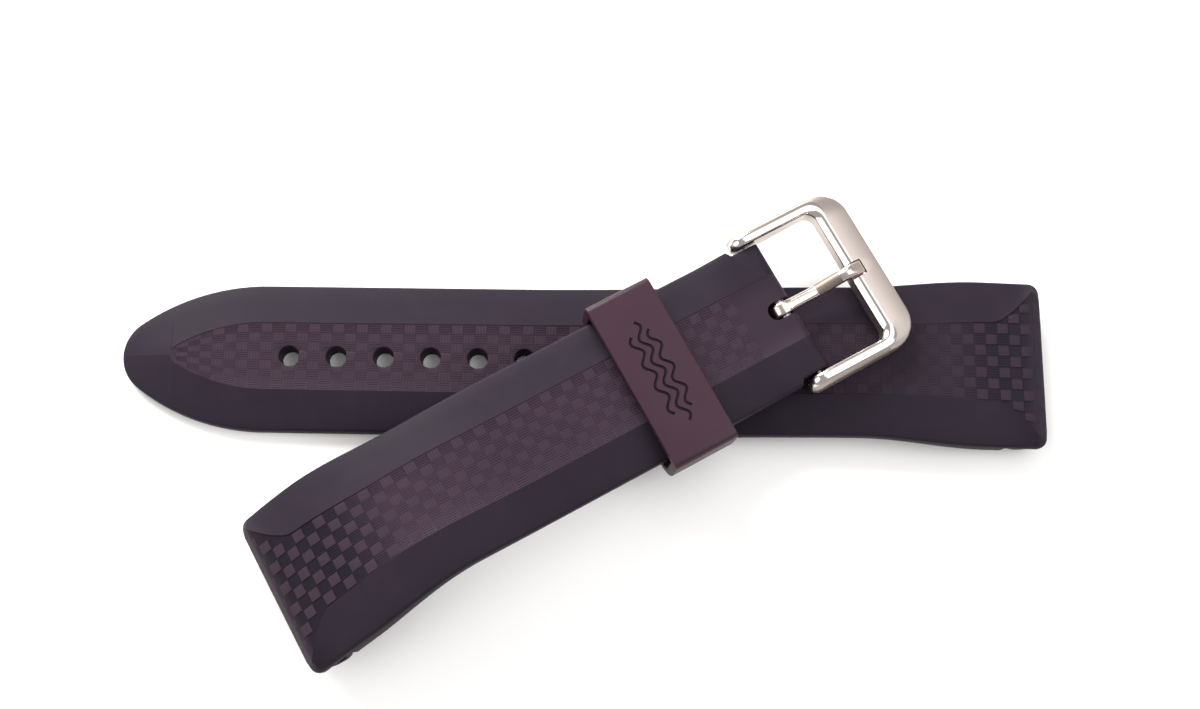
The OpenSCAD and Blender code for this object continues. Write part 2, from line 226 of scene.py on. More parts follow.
add_lamp("window_light", (-0.34, 0.46, 0.30), 0.45, 8, WARM_WHITE)
add_lamp("fill_light", (0.40, -0.10, 0.50), 0.50, 2, COOL_WHITE)
add_lamp("softbox", (0.17, 0.20, 0.60), 0.60, 1.15, WARM_WHITE)
add_lamp("reflector", (-0.37, -0.11, 0.22), 0.36, 0.55, WARM_WHITE)

world = bpy.data.worlds.new("studio")
world.use_nodes = True
world.node_tree.nodes["Background"].inputs["Color"].default_value = (1.0, 0.99, 0.985, 1)
world.node_tree.nodes["Background"].inputs["Strength"].default_value = 0.5
bpy.context.scene.world = world
bpy.context.scene.view_settings.view_transform = "Standard"

# %% [markdown]
# ## Materials
# A material starts from what the thing is made of. Strap rubber is a fluoro or nitrile rubber
# pressed in a steel mould: matte, a little violet, with the fine grain of the spark-eroded
# mould. The buckle is stainless steel, brushed on its flats and polished on its bevels.
# Patterns are worked out from real sizes, as repeats per metre in object coordinates.


# %% Colour and node helpers
def to_linear(code):
    # An sRGB hex colour as linear light
    parts = [int(code[i:i + 2], 16) / 255 for i in (1, 3, 5)]
    line = [c / 12.92 if c <= 0.04045 else ((c + 0.055) / 1.055) ** 2.4 for c in parts]
    return (*line, 1.0)


def add_node(material, kind, values=None, links=None, **settings):
    # Adds one node, sets its options and socket values, and links its inputs
    node = material.node_tree.nodes.new(kind)
    for name, value in settings.items():
        setattr(node, name, value)
    for socket, value in (values or {}).items():
        node.inputs[socket].default_value = value
    for socket, source in (links or {}).items():
        material.node_tree.links.new(source, node.inputs[socket])
    return node


def new_material(name, **values):
    # A principled surface with its even values set on its own sockets
    material = bpy.data.materials.new(name)
    material.use_nodes = True
    surface = material.node_tree.nodes["Principled BSDF"]
    for socket, value in values.items():
        surface.inputs[socket.replace("_", " ")].default_value = value
    return material, surface


def per_mm(size):
    # A noise scale that repeats about every `size` millimetres
    return 1000 / size


def object_place(material):
    return add_node(material, "ShaderNodeTexCoord").outputs["Object"]


def add_noise(material, place, scale, detail):
    values = {"Scale": scale, "Detail": detail}
    return add_node(material, "ShaderNodeTexNoise", values, {"Vector": place}).outputs["Fac"]


def add_bump(material, surface, height, strength, depth):
    # Relief that is too fine for the mesh, its depth in millimetres
    values = {"Strength": strength, "Distance": depth * MM}
    bump = add_node(material, "ShaderNodeBump", values, {"Height": height})
    material.node_tree.links.new(bump.outputs["Normal"], surface.inputs["Normal"])


# %% [markdown]
# ### Moulded rubber
# One batch of compound fills the whole mould, so there is one rubber for the strap. Its colour
# still changes with the relief, and most of that is painted light: a painted highlight makes the
# ridges' crests and raised squares paler, painted shade darkens the sunken floor of the chequer,
# and the band is warmer than the flanks. The meshes carry that as an attribute named tone, from
# -1 for the painted shade in the depths through 0 on plain faces to 1 for the painted highlight
# on the crests, and the material turns it into a colour. Three materials would do as well, but
# could not fade from one to the next.


# %% Rubber
CLOUD_SHARE = 0.08


def rubber(name, deep, plain, crest, roughness, specular, grain_depth):
    material, surface = new_material(name, Roughness=roughness, IOR=1.5, Specular_IOR_Level=specular)
    place = object_place(material)
    # Clouds 4 mm across: faint pressing marks in the compound
    clouds = add_noise(material, place, per_mm(4), 3.0)
    tone = add_node(material, "ShaderNodeAttribute", attribute_name="tone")
    half_tone = add_node(material, "ShaderNodeMath", {1: 0.5, 2: 0.5 - 0.5 * CLOUD_SHARE},
                         {0: tone.outputs["Fac"]}, operation="MULTIPLY_ADD")
    mixed = add_node(material, "ShaderNodeMath", {1: CLOUD_SHARE},
                     {0: clouds, 2: half_tone.outputs["Value"]}, operation="MULTIPLY_ADD")
    # The ramp runs from the deep colour, which is painted shade, through the plain one to the crest
    # colour, which is a painted highlight on crests and a warmer tint on the band's floor
    ramp = add_node(material, "ShaderNodeValToRGB", links={"Fac": mixed.outputs["Value"]})
    ramp.color_ramp.elements[0].color = to_linear(deep)
    ramp.color_ramp.elements[1].color = to_linear(crest)
    ramp.color_ramp.elements.new(0.5).color = to_linear(plain)
    material.node_tree.links.new(ramp.outputs["Color"], surface.inputs["Base Color"])
    # Grain of the spark-eroded mould, 0.15 mm from grain to grain
    add_bump(material, surface, add_noise(material, place, per_mm(0.15), 2.0), 0.35, grain_depth)
    return material


# Straight from the mould: a matte violet dark that takes soft light. Its paler, warmer crest colour
# is a painted highlight, and its deep colour is painted shade
strap_rubber = rubber("moulded_fluoro_rubber", "#0e0a11", "#221b25", "#4a3743", 0.55, 0.10, 0.02)
# Rubbed by sliding: a warmer, satin face on which a faint sheen shows the rounded edges
keeper_rubber = rubber("satin_moulded_rubber", "#0e090f", "#341f2a", "#4a3643", 0.42, 0.18, 0.012)
# Smooth and sunken. The nearly black colour is painted shade in the grooves, so that the lines
# read as engraving from afar
groove_shade_rubber = rubber("glossy_rubber_groove_painted_shade", "#0c060a", "#170d14", "#170d14", 0.45, 0.12, 0.004)


def set_tone(piece, tones):
    # The attribute sits on the mesh's points, one value each
    layer = piece.data.attributes.get("tone") or piece.data.attributes.new("tone", "FLOAT", "POINT")
    layer.data.foreach_set("value", np.asarray(tones, float))


print("rubbers:", [m.name for m in (strap_rubber, keeper_rubber, groove_shade_rubber)])

# %% [markdown]
# ### Stainless steel
# Brushing leaves fine lines, so the brushed steel has a noise that is squeezed to thin lines.
# They all run along X, which at this distance can't be told from lines along the crossbar.
# Polishing leaves a mirror with faint waves. A metal's colour is its reflection, so it needs no
# more than that, except the darker copies of the steel on the frame's sides and the tang's bend,
# which are painted shade.


# %% Steel
# Degrees by which the noise is turned. A mapping squeezes first and turns afterwards, so this
# gives another pattern, but doesn't change which way its lines run
BAR_TURN, SIDE_TURN = -119.4, -29.4


def mark_steel(material, surface, marks, smoothest, roughest, strength, depth):
    # What a tool leaves changes the shine, and a little relief goes with it
    shine = add_node(material, "ShaderNodeMapRange", {"To Min": smoothest, "To Max": roughest},
                     {"Value": marks})
    material.node_tree.links.new(shine.outputs["Result"], surface.inputs["Roughness"])
    add_bump(material, surface, marks, strength, depth)


def brushed_steel(name, colour, roughness, turn):
    material, surface = new_material(name, Metallic=1.0, Base_Color=to_linear(colour))
    # Lines 0.06 mm wide and about 3 mm long
    values = {"Rotation": (0, 0, math.radians(turn)), "Scale": (per_mm(3), per_mm(0.06), per_mm(0.06))}
    turned = add_node(material, "ShaderNodeMapping", values, {"Vector": object_place(material)})
    lines = add_noise(material, turned.outputs["Vector"], 1.0, 2.0)
    mark_steel(material, surface, lines, roughness - 0.06, roughness + 0.08, 0.25, 0.004)
    return material


def polished_steel(name, colour, roughness):
    material, surface = new_material(name, Metallic=1.0, Base_Color=to_linear(colour))
    # The buffing wheel leaves faint waves, 1.5 mm apart
    waves = add_noise(material, object_place(material), per_mm(1.5), 1.0)
    mark_steel(material, surface, waves, roughness - 0.04, roughness + 0.05, 0.15, 0.01)
    return material


# The crossbar's top: a broad, pale sweep of light with soft ends
frame_brushed = brushed_steel("brushed_stainless_frame", "#c3b7b1", 0.34, BAR_TURN)
# Duller satin, with a darker colour that is painted shade, so the sides set off the top
shaded_frame_side = brushed_steel("satin_stainless_side_painted_shade", "#afa49e", 0.44, SIDE_TURN)
# A thin mirror round the window, white where it meets a lamp and dark where it meets the strap
frame_polished = polished_steel("polished_stainless_bevel", "#d8d0cb", 0.12)
# The tang's root and ridge: bright, but softer than the bevel
tang_polished = polished_steel("polished_stainless_tang", "#cfc5c0", 0.22)
# The stretch between them: dull brushed steel whose dark brownish grey is painted shade
shaded_tang_bend = brushed_steel("brushed_stainless_tang_painted_shade", "#80756d", 0.5, SIDE_TURN)
# Lathe-turned: a neutral grey, in case a glimpse of it shows beside the tongue
bar_steel = brushed_steel("turned_stainless_bar", "#b4b2b2", 0.3, BAR_TURN)
# Drawn through a die: smooth and grey, inside the tube
spring_steel = polished_steel("drawn_spring_wire", "#9c9a9a", 0.22)


# %% White table
def white_table():
    # A matte white that is blown out by the lamps and only shows the shadows
    material, surface = new_material("white_tabletop", Roughness=0.7)
    speck = add_noise(material, object_place(material), per_mm(40), 2.0)
    ramp = add_node(material, "ShaderNodeValToRGB", links={"Fac": speck})
    ramp.color_ramp.elements[0].color = to_linear("#f6f4f2")
    ramp.color_ramp.elements[1].color = to_linear("#fbfaf8")
    material.node_tree.links.new(ramp.outputs["Color"], surface.inputs["Base Color"])
    return material


table.data.materials.append(white_table())

# %% [markdown]
# ## The shape of the straps
# Each strap is described by how its cross-section changes along its length. The numbers and
# curves below are those of the solids, in millimetres: `s` is the distance along the strap, `y`
# the distance across it and `h` the height over its main underside. A strap modelled straight
# in these coordinates is easy to detail, and is bent into its lying shape at the end.

# %% Sizes shared with the solids
lug_w, body_w, tail_w, tongue_w = 24, 21.6, 21, 20
strap_t, edge_t, flank_w, corner_flank_w = 3.2, 2, 5.7, 1.6
long_reach, short_reach, straight_len = 126.5, 76.8, 50.4
nose_len, tip_r = 20, 5.7
lug_bore_r, barrel_r, bore_inset, bore_drop = 1, 2, 3.3, 0.2
lip_t, end_edge_t, end_border, lug_corner_r = 2.6, 2.2, 1.7, 1.5
lug_square, flare_len, band_flare, band_widen, widen_len = 9, 18, 7.5, 0.6, 13
pad_t, pad_len, notch_w = 0.9, 17, 0.8
hole_r, hole_pitch, hole_count, first_hole = 1.45, 6.6, 7, 23.4
arch_rise, arch_peak, arch_fall, curve_r = 1, 20, 50, 46
lug_roll, roll_from, roll_len = math.radians(8.5), 40, 22
bar_h = strap_t / 2
shoulder, shoulder_len, tongue_fade = 2.6, 0.7, 6
pad_from = bore_inset + barrel_r + notch_w
nose_arc_r = ((nose_len - tip_r) ** 2 + (tail_w / 2) ** 2 - tip_r ** 2) / (tail_w - 2 * tip_r)
nose_arc_y = tail_w / 2 - nose_arc_r
tip_touch = tip_r - tip_r * (nose_len - tip_r) / (nose_arc_r - tip_r)
# The band ends in a small round, which lies inside two arcs parallel to the nose's outline
band_tip_r = 1.5
band_arc_r = nose_arc_r - flank_w
band_tip_t = nose_len - math.sqrt((band_arc_r - band_tip_r) ** 2 - nose_arc_y ** 2)
band_touch = band_tip_t - band_tip_r * (nose_len - band_tip_t) / (band_arc_r - band_tip_r)
band_start = band_tip_t - band_tip_r
# The band never gets narrower than the first, and stays at least the second above its side walls
least_band, least_step = 0.05, 0.15
tongue_edge_drop, flare_power = 0.4, 1.5
lug_len = lug_square + flare_len
print(f"the woven band starts {band_start:.1f} mm from the tip")


# %% Width, thickness and band along each strap
def ease(t):
    t = min(1, max(0, t))
    return t * t * (3 - 2 * t)


def mix(a, b, t):
    return a + (b - a) * t


def long_e(s):
    # The lug ends are described by e, the distance from their end edge
    return s + bore_inset


def long_s(e):
    return e - bore_inset


def short_e(s):
    # The same sum turns e back into s
    return short_reach + bore_inset - s


def lug_half(e):
    if e < lug_corner_r:
        return lug_w / 2 - lug_corner_r + math.sqrt(max(0, lug_corner_r ** 2 - (lug_corner_r - e) ** 2))
    return mix(lug_w / 2, body_w / 2, ease((e - lug_square) / flare_len))


def lug_top(e):
    return mix(end_edge_t, strap_t, min(1, e / end_border))


def lug_under(e):
    return strap_t - lip_t if e < pad_from else -pad_t * (1 - ease((e - pad_from) / pad_len))


def plain_band(half, e):
    # Half width of the band without its flare at the very end
    return min(half, body_w / 2) - flank_w + band_widen * (1 - ease((e - band_flare) / widen_len))


def lug_band(half, e):
    flare = min(1, max(0, (band_flare - e) / (band_flare - end_border))) ** flare_power
    return mix(plain_band(half, e), half - corner_flank_w, flare)


def tail_half(t):
    if t < tip_touch:
        return math.sqrt(2 * tip_r * t - t * t)
    return nose_arc_y + math.sqrt(nose_arc_r ** 2 - (nose_len - t) ** 2)


def tail_band(t):
    if t <= band_start:
        return least_band
    if t < band_touch:
        return max(least_band, math.sqrt(band_tip_r ** 2 - (t - band_tip_t) ** 2))
    return nose_arc_y + math.sqrt(band_arc_r ** 2 - (nose_len - t) ** 2)


def long_half(s):
    plain_from = long_s(lug_len)
    if long_reach - s < nose_len:
        return tail_half(long_reach - s)
    if s < plain_from:
        return lug_half(long_e(s))
    return mix(body_w / 2, tail_w / 2, (s - plain_from) / (long_reach - nose_len - plain_from))


def long_measures(s):
    # Half width, half width of the band, and heights of underside, side wall and band
    e, t, half = long_e(s), long_reach - s, long_half(s)
    if t < nose_len:
        top = mix(edge_t, strap_t, min(1, t / band_start))
        return half, min(tail_band(t), half - least_step), 0, edge_t, top
    return half, lug_band(half, e), lug_under(e), min(edge_t, lug_top(e) - least_step), lug_top(e)


def short_measures(s):
    e = short_e(s)
    if s < shoulder + shoulder_len:
        half = mix(tongue_w / 2, body_w / 2, ease((s - shoulder) / shoulder_len))
    else:
        half = lug_half(e)
    side = mix(strap_t - tongue_edge_drop, edge_t, ease((s - shoulder) / tongue_fade))
    band = body_w / 2 - flank_w if s < shoulder + tongue_fade else lug_band(half, e)
    if s < 0:
        # The end of the tongue is a half round about the buckle's bar
        swell = math.sqrt(max(0, bar_h ** 2 - s * s))
        return half, band, bar_h - swell, min(side, bar_h + swell), bar_h + swell
    return half, band, lug_under(e), min(side, lug_top(e) - least_step), lug_top(e)


# %% [markdown]
# ## Rounded edges from a distance
# Every edge of moulded rubber is soft. Rounding a cross-section alone would leave the lug's end
# edge and the tip of the nose sharp, so a point's height is lowered by how near it is to the
# outline seen from above, whichever side of the strap that outline is on.

# %% Distance to the outline, and the rounding it gives
EDGE_ROUND = 0.45


def lug_edge_distance(e, half, y):
    corner_y = lug_w / 2 - lug_corner_r
    if e < lug_corner_r and abs(y) > corner_y:
        return lug_corner_r - math.hypot(lug_corner_r - e, abs(y) - corner_y)
    return min(half - abs(y), e)


def long_edge_distance(s, y):
    t = long_reach - s
    if t < tip_touch:
        return tip_r - math.hypot(tip_r - t, y)
    return lug_edge_distance(long_e(s), long_half(s), y)


def short_edge_distance(s, y):
    return lug_edge_distance(short_e(s), short_measures(s)[0], y)


def round_drop(distance, radius=EDGE_ROUND):
    if distance >= radius:
        return 0
    return radius - math.sqrt(radius ** 2 - (radius - max(0, distance)) ** 2)


# %% Depth and tone of the band's sunken floor
FLOOR_DEPTH, LUG_DEPTH = 0.06, 0.14
# Lengths over which the chequer, the floor and the floor's other end set in
CHECK_SLOPE, FLOOR_SLOPE, END_SLOPE = 1.8, 1.2, 0.8
FLOOR_BEFORE_BAR = 0.9
# Where the weave's warm tone starts to grow, and over what length
WARM_FROM, WARM_LEN = 15, 30
# Tone of the sunken floor: a warmer tint in the weave, and painted shade in the chequer
WEAVE_FLOOR_TONE, CHECK_FLOOR_SHADE = 0.2, -0.7


def check_share(e, strap):
    # 1 in the middle of the chequered stretch, fading to the border and to the weave
    length = strap.check_len
    return ease((e - end_border) / CHECK_SLOPE) * (1 - ease((e - length / 3) / (length * 2 / 3)))


def floor_depth(e, from_other_end, strap):
    deep = FLOOR_DEPTH + (LUG_DEPTH - FLOOR_DEPTH) * check_share(e, strap)
    return deep * ease((e - end_border) / FLOOR_SLOPE) * ease(from_other_end / END_SLOPE)


def long_depth(s):
    return floor_depth(long_e(s), long_reach - s - band_start, LONG)


def short_depth(s):
    return floor_depth(short_e(s), s + FLOOR_BEFORE_BAR, SHORT)


# All that sets the straps apart. The chequer has its length and the strength of its painted light,
# shade on its floor and highlight on its squares, and `warm` is how warm the weave still is at the lug
# end
LONG = SimpleNamespace(check_len=14, check_painted_contrast=0.55, warm=0.35, to_e=long_e, to_s=long_s,
                       measures=long_measures, distance=long_edge_distance, depth=long_depth)
SHORT = SimpleNamespace(check_len=21, check_painted_contrast=1.0, warm=1.0, to_e=short_e, to_s=short_e,
                        measures=short_measures, distance=short_edge_distance, depth=short_depth)


def warmth(e, strap):
    return mix(strap.warm, 1, ease((e - WARM_FROM) / WARM_LEN))


def floor_tone(e, strap):
    # In the chequer the sunken floor gets painted shade, and in the weave a warmer tint
    in_check = mix(0, CHECK_FLOOR_SHADE, strap.check_painted_contrast)
    return mix(WEAVE_FLOOR_TONE * warmth(e, strap), in_check, min(1, 1.2 * check_share(e, strap)))


def tone_floor(body, strap):
    # Only points on the sunken floor get a tone, painted shade in the chequer and a warmer tint in
    # the weave, and all others stay plain
    tones = []
    for s, y, h in read_points(body):
        half, band, under, side, top = strap.measures(s)
        on_floor = abs(y) < band - 0.02 and h > top - strap.depth(s) - 0.05
        tones.append(floor_tone(strap.to_e(s), strap) if on_floor else 0)
    set_tone(body, tones)


# %% One cross-section as a ring of points
ROUND_STEPS = [0, 20, 40, 65, 90]
FLOOR_WALL = 0.09


def ring(s, strap):
    half, band, under, side, top = strap.measures(s)
    inset = min(EDGE_ROUND, 0.45 * half)
    edge = [half - inset * (1 - sine(a)) for a in ROUND_STEPS]
    sink = strap.depth(s)
    floor_y = band - min(FLOOR_WALL, 0.4 * band)

    def upper(y):
        return top if y <= band else mix(top, side, (y - band) / (half - band))

    def drop(y):
        limit = (top - under) / 2
        return min(limit, round_drop(strap.distance(s, y)))

    # From the middle of the underside round the right edge to the middle of the floor. The bare
    # shares only spread points over plain stretches
    right = [(y, under + drop(y)) for y in [0.35 * edge[0], 0.7 * edge[0], *edge]]
    flank = [mix(edge[0], band, 0.33), mix(edge[0], band, 0.67), band]
    right += [(y, upper(y) - drop(y)) for y in [*reversed(edge), *flank]]
    right += [(y, top - sink - drop(y)) for y in (floor_y, 0.5 * floor_y)]
    left = [(-y, h) for y, h in reversed(right)]
    outline = [(0, under + drop(0)), *right, (0, top - sink - drop(0)), *left]
    return [(s, y, h) for y, h in outline]


# %% [markdown]
# ## A strap body from one grid
# The strap starts as a flat grid primitive with a row for each place along the strap and a
# column for each point round the cross-section. Its points are moved onto the rings, the seam
# underneath is merged and both ends are closed. A loft made with bridged circles would give the
# same skin, but with no say over where the long creases run.


# %% Wrap a grid into a closed skin
def wrap_grid(name, rings, slot_of=lambda row, column: 0):
    # A face's row and column tell its material slot, which is the first one unless said
    rows, columns = len(rings), len(rings[0])
    bpy.ops.mesh.primitive_grid_add(x_subdivisions=columns, y_subdivisions=rows - 1, size=1)
    piece = bpy.context.object
    piece.name = name
    for face in piece.data.polygons:
        column = int((face.center.x + 0.5) * columns)
        row = int((face.center.y + 0.5) * (rows - 1))
        face.material_index = slot_of(row, column)
    flat = read_points(piece)
    column = np.rint((flat[:, 0] + 0.5) * columns).astype(int) % columns
    row = np.rint((flat[:, 1] + 0.5) * (rows - 1)).astype(int)
    write_points(piece, np.array(rings, float)[row, column])
    close_and_turn_out(piece)
    return piece


def spread(start, end, step):
    count = max(1, math.ceil(abs(end - start) / step))
    return [mix(start, end, i / count) for i in range(count + 1)]


def arc_steps(radius, step=10):
    # Distances from an edge that are close together where a round of this radius turns fast
    return [radius * (1 - cosine(a)) for a in range(0, 91, step)]


def lug_rows():
    # Distances from the lug's end edge at which a ring stands
    rows = arc_steps(EDGE_ROUND, 18) + arc_steps(lug_corner_r, 15)
    rows += [end_border, *spread(end_border + 0.3, 5, 0.35)]
    rows += [pad_from - 0.05, pad_from + 0.05, *spread(7, lug_len, 1)]
    return sorted({round(e, 4) for e in rows})


# %% The two bodies, still straight
LAST_ROW = 0.004
long_rows = [long_s(e) for e in lug_rows()]
long_rows += spread(long_s(lug_len), long_reach - nose_len, 1.6)[1:]
nose_rows = spread(nose_len, band_touch, 0.7)[1:-1]
band_tip_rows = [band_tip_t - band_tip_r * cosine(a) for a in range(0, 91, 10)]
nose_rows += [t for t in band_tip_rows if t < band_touch] + [band_touch]
nose_rows += spread(band_start - 0.1, tip_touch, 0.6)
long_rows += sorted(long_reach - t for t in nose_rows)
tip_rows = [tip_r * (1 - cosine(a)) for a in range(6, 60, 6)]
long_rows += sorted(long_reach - t for t in tip_rows if t < tip_touch - 0.05)
long_rows += [long_reach - LAST_ROW]

short_rows = [-bar_h * cosine(a) for a in range(4, 90, 8)]
short_rows += spread(0, shoulder, 0.9) + spread(shoulder, shoulder + shoulder_len, 0.1)[1:]
short_rows += spread(shoulder + shoulder_len, short_e(lug_len), 1.2)[1:]
short_rows += [short_e(e) for e in reversed(lug_rows())][1:]

long_body = wrap_grid("long_strap_rubber", [ring(s, LONG) for s in long_rows])
short_body = wrap_grid("short_strap_rubber", [ring(s, SHORT) for s in short_rows])
show_size(long_body)
show_size(short_body)

# %% [markdown]
# ## Adjustment holes
# The holes are moulded, not punched, so they narrow a little downwards, to let go of the mould's
# pins, and their rims are slightly rounded. The cutter for one is a cone with a cut-off tip
# whose upper edge flares out, and it is used at each of the seven places. Subtracting real
# cutters keeps the walls of the holes, through which the table shows.


# %% Cut the holes
HOLE_FOOT_R = 1.2
RIM_R = 0.12


def hole_cutter(s):
    foot_z, rim_z = -1, strap_t - FLOOR_DEPTH - RIM_R
    cutter = add_solid("hole", bpy.ops.mesh.primitive_cone_add, vertices=48, radius1=HOLE_FOOT_R,
                       radius2=hole_r, depth=rim_z - foot_z, location=(s, 0, (foot_z + rim_z) / 2))
    pick_top(cutter)
    for before, angle in ((0, 30), (30, 60), (60, 90)):
        # Each short extrusion leans out a little more, like the rim's round
        rise = RIM_R * (sine(angle) - sine(before))
        wider = (hole_r + RIM_R * (1 - cosine(angle))) / (hole_r + RIM_R * (1 - cosine(before)))
        bpy.ops.mesh.extrude_region_move(TRANSFORM_OT_translate={"value": (0, 0, rise)})
        bpy.ops.transform.resize(value=(wider, wider, 1))
    bpy.ops.mesh.extrude_region_move(TRANSFORM_OT_translate={"value": (0, 0, 1)})
    leave_edit()
    return cutter


hole_places = [long_reach - first_hole - i * hole_pitch for i in range(hole_count)]
for s in hole_places:
    cut_away(long_body, hole_cutter(s))
show_size(long_body)

# %% [markdown]
# ## The slot for the tang
# The tang's loop turns in a slot that is open at the tongue's end and round at its inner end.
# A cube with its two inner edges bevelled round is the cutter.

# %% Cut the slot
tang_w, tang_play, tang_loop_r = 1.9, 0.35, 1.75
slot_w = tang_w + 2 * tang_play
slot_back = tang_loop_r + tang_play + slot_w / 2 - math.sqrt(slot_w ** 2 - tang_w ** 2) / 2
SLOT_OUT, SLOT_TALL = 4, 6


def slot_cutter():
    cutter = add_block("slot", (slot_back + SLOT_OUT, slot_w, SLOT_TALL),
                       ((slot_back - SLOT_OUT) / 2, 0, bar_h))
    bevel_edges(cutter, lambda a, b: min(a.x, b.x) > slot_back - 0.01 and abs(a.z - b.z) > 1,
                slot_w / 2 - 0.01, 10)
    return cutter


cut_away(short_body, slot_cutter())
show_size(short_body)

# %% Tone of both floors
tone_floor(long_body, LONG)
tone_floor(short_body, SHORT)

# %% [markdown]
# ## The woven pattern
# The band carries a moulded basket weave: small fields of fine ridges that run along the strap
# and across it by turns. Towards the lug end the ridges give way to a chequerboard of plain
# raised squares over a deeper floor. One ridge of each direction and one square are modelled
# from a cube, and then copied to their places. As they have only a few faces, even hundreds of
# fields stay light. A bump map would be simpler, but it would vanish from the mesh.

# %% One ridge and one square
FIELD_LEN, FIELD_W = 1.67, 1.52
RIDGES = 4
RIDGE_RISE = 0.05
# Depth of all feet under the floor, and width of the slope round a square's cushion
SINK, SQUARE_LIP = 0.05, 0.25


def relief_shape(length, width, slope, lip=0.0):
    # A block of unit height whose upper face is drawn in on all sides; a lip makes it a cushion
    shape = add_block("shape", (length, width, 1), (0, 0, 0.5))
    pick_top(shape)
    bpy.ops.transform.resize(value=(1 - 2 * slope / length, 1 - 2 * slope / width, 1))
    if lip:
        bpy.ops.mesh.inset(thickness=lip, depth=0)
        bpy.ops.transform.translate(value=(0, 0, 0.2))
    leave_edit()
    points = read_points(shape)
    faces = [tuple(face.vertices) for face in shape.data.polygons]
    bpy.data.objects.remove(shape)
    return points, faces


RIDGE_W, RIDGE_SLOPE, RIDGE_GAP = 0.14, 0.045, 0.1
SQUARE_SLOPE, SQUARE_GAP = 0.08, 0.02
along_ridge = relief_shape(FIELD_LEN - RIDGE_GAP, RIDGE_W, RIDGE_SLOPE)
cross_ridge = relief_shape(RIDGE_W, FIELD_W - RIDGE_GAP, RIDGE_SLOPE)
square_pad = relief_shape(FIELD_LEN - SQUARE_GAP, FIELD_W - SQUARE_GAP, SQUARE_SLOPE, SQUARE_LIP)


# %% Where they go
# Rows to each side of the middle, more than the band ever has
ROWS = 6
# Share of the chequer's length from which the weave's ridges are there too
WEAVE_FROM = 0.43
# Distance from the band's edge and from a hole's rim: of a place, and then of every point
PLACE_EDGE_GAP, PLACE_HOLE_GAP = 0.15, 0.2
EDGE_GAP, HOLE_GAP = 0.09, 0.16


def fields(first_edge, e_to):
    # Centres of the fields and their parity, in distances from the lug's end
    first = first_edge + FIELD_LEN / 2
    columns = range(int(-first / FIELD_LEN), int((e_to - first) / FIELD_LEN) + 1)
    centres = [(i, first + i * FIELD_LEN) for i in columns]
    return [(e, j * FIELD_W, (i + j) % 2) for i, e in centres if 0 <= e <= e_to
            for j in range(-ROWS, ROWS + 1)]


def row_stretch(s, strap):
    # Seven rows always fill the band, so they spread where it is wider
    return (plain_band(strap.measures(s)[0], strap.to_e(s)) - 0.1) / (3.5 * FIELD_W)


def fits(s, y, strap, holes):
    on_band = abs(y) * row_stretch(s, strap) < strap.measures(s)[1] - PLACE_EDGE_GAP
    return on_band and all(math.hypot(s - h, y) > hole_r + PLACE_HOLE_GAP for h in holes)


def keep_clear(point, strap, holes):
    # Draws a point in to the band's edge, and out of a hole and its rounded rim
    limit = max(0.02, strap.measures(point[0])[1] - EDGE_GAP)
    point[1] = min(limit, max(-limit, point[1]))
    for h in holes:
        away = math.hypot(point[0] - h, point[1])
        if away < hole_r + HOLE_GAP:
            stretch = (hole_r + HOLE_GAP) / max(away, 0.01)
            point[0] = h + (point[0] - h) * stretch
            point[1] *= stretch


# %% How high they stand, and their painted highlight and shade
CUSHION_RISE, WEAVE_SQUARE_RISE, UNDER_FLANK = 0.03, 0.012, 0.035
# Painted highlight: how much paler the ridges' crests and the weave's raised squares are
PAINTED_CREST_HIGHLIGHT, WEAVE_SQUARE_TONE = 0.75, 0.3


def relief_height(rise, is_ridge, floor_below, share):
    # Feet stand under the floor. Squares reach the flanks' height in the chequer, and hardly
    # rise in the weave, where the ridges stand on them
    if rise < 0.5:
        return -SINK
    if is_ridge:
        return RIDGE_RISE
    cushion = CUSHION_RISE if rise > 1.1 else 0
    return mix(WEAVE_SQUARE_RISE, floor_below - UNDER_FLANK + cushion, min(1, 3 * share))


def relief_tone(rise, is_ridge, e, share, strap):
    # Painted light: feet take the floor's tone, ridges' crests a painted highlight, and raised squares a
    # smaller painted highlight
    if rise < 0.5:
        return floor_tone(e, strap)
    if is_ridge:
        return mix(PAINTED_CREST_HIGHLIGHT * warmth(e, strap), 0.0, min(1, 2 * share))
    # The factors on the share let each tone take over before the chequer has its full depth
    in_check = 0.05 + 0.2 * strap.check_painted_contrast
    return mix(WEAVE_SQUARE_TONE * warmth(e, strap), in_check, min(1, 1.5 * share))


# %% Copy them over the band
def stamp(name, shape, places):
    # One mesh out of a copy of the shape at every place
    shape_points, shape_faces = shape
    shifts = np.array([(s, y, 0) for s, y in places], float)
    points = (shape_points[None] + shifts[:, None]).reshape(-1, 3)
    count = len(shape_points)
    faces = [tuple(i * count + k for k in face) for i in range(len(places)) for face in shape_faces]
    mesh = bpy.data.meshes.new(name)
    mesh.from_pydata(points.tolist(), [], faces)
    piece = bpy.data.objects.new(name, mesh)
    bpy.context.scene.collection.objects.link(piece)
    return piece


def stand_up(piece, is_ridge, strap, holes):
    # Every point gets its place on the band, its height over the floor and its tone
    points, tones = read_points(piece), []
    for point in points:
        point[1] *= row_stretch(point[0], strap)
        keep_clear(point, strap, holes)
        e, rise, depth = strap.to_e(point[0]), point[2], strap.depth(point[0])
        share = check_share(e, strap)
        floor = strap.measures(point[0])[4] - depth
        point[2] = floor + relief_height(rise, is_ridge, depth, share)
        tones.append(relief_tone(rise, is_ridge, e, share, strap))
    write_points(piece, points)
    set_tone(piece, tones)


